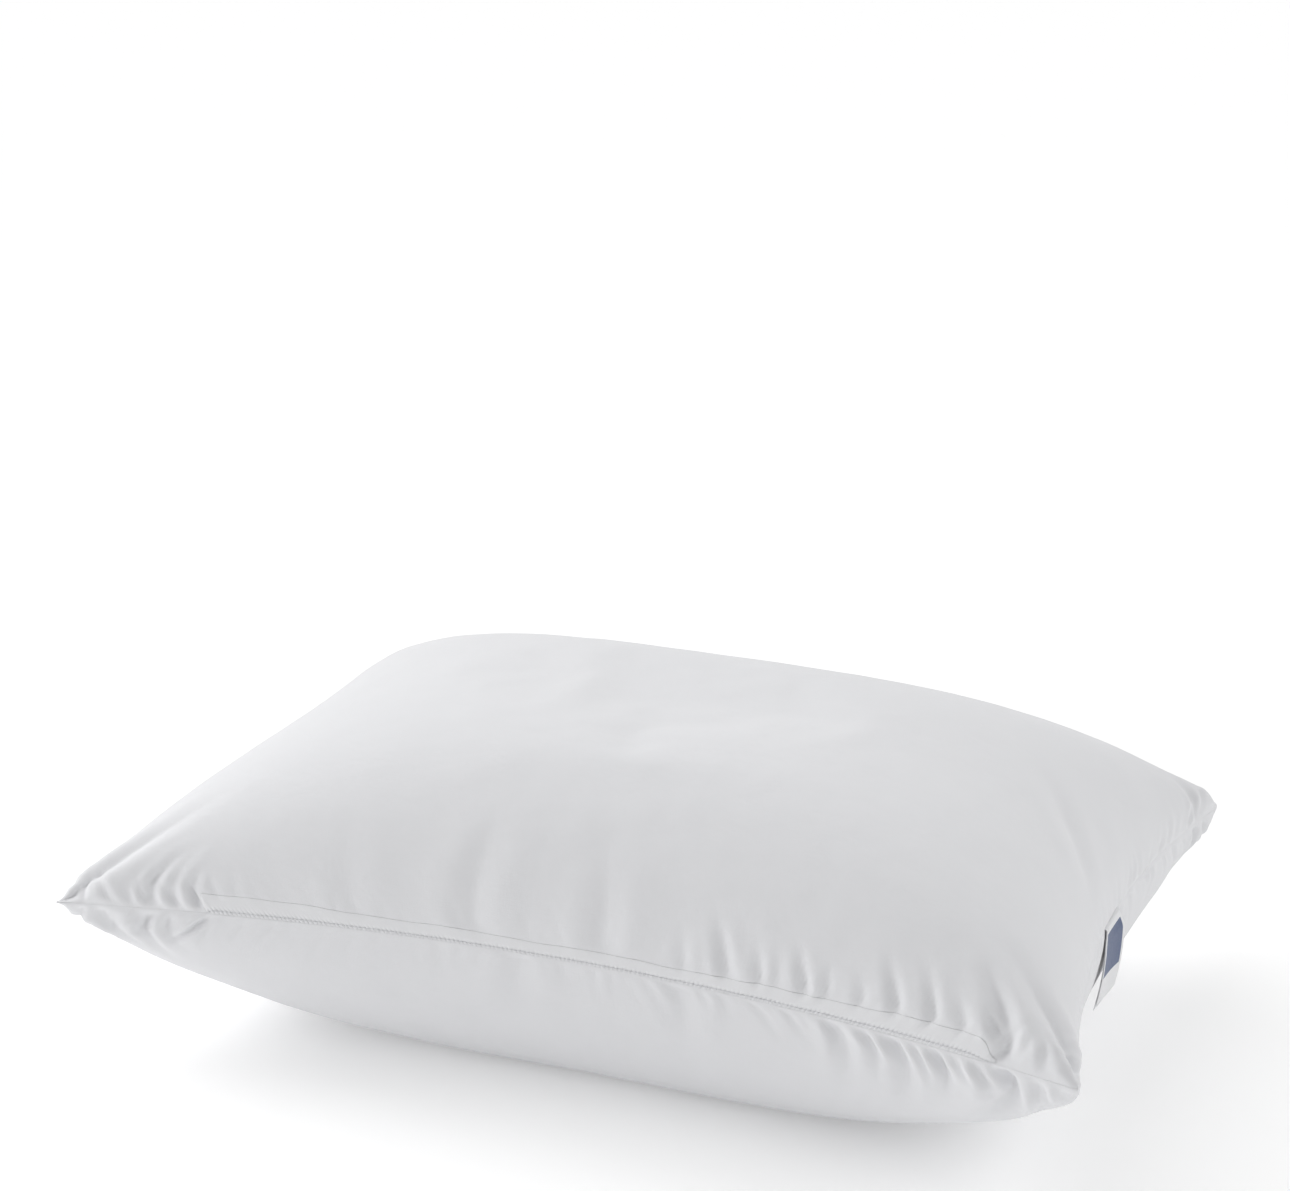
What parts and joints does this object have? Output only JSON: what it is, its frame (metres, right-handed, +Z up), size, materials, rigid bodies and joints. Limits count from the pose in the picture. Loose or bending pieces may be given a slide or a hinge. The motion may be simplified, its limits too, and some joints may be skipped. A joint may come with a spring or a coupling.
{
  "type": "bed pillow",
  "caption": "Plump rectangular bed pillow: two white cloth panels sewn round a fibre fill, with a lapped closing seam along one long side and two sewn-in side labels.",
  "frame": {"origin": "on the surface the pillow rests on, under the middle of its bounding box", "axes": "+X along the long side towards the labels, +Y away from the closing seam, +Z up"},
  "size_m": [0.673, 0.4794, 0.2271],
  "materials": {
    "shell_cloth": "matte",
    "fibre": "matte",
    "thread": "satin",
    "maker_label_tape": "satin",
    "care_label_tape": "satin"
  },
  "bodies": {
    "pillow": {"shell_top_panel": "shell_cloth", "shell_bottom_panel": "shell_cloth", "fibre_fill": "fibre", "perimeter_needle_thread": "thread", "perimeter_bobbin_thread": "thread", "closing_needle_thread": "thread", "closing_bobbin_thread": "thread"},
    "labels": {"maker_label": "maker_label_tape", "care_label": "care_label_tape"}
  },
  "joints": [
    {"name": "label_flip", "type": "hinge", "parent": "pillow", "child": "labels", "pos_m": [0.30504, 0.00798, 0.109], "axis": [-0.0094, -1, 0], "range_deg": [-7, 170]}
  ]
}
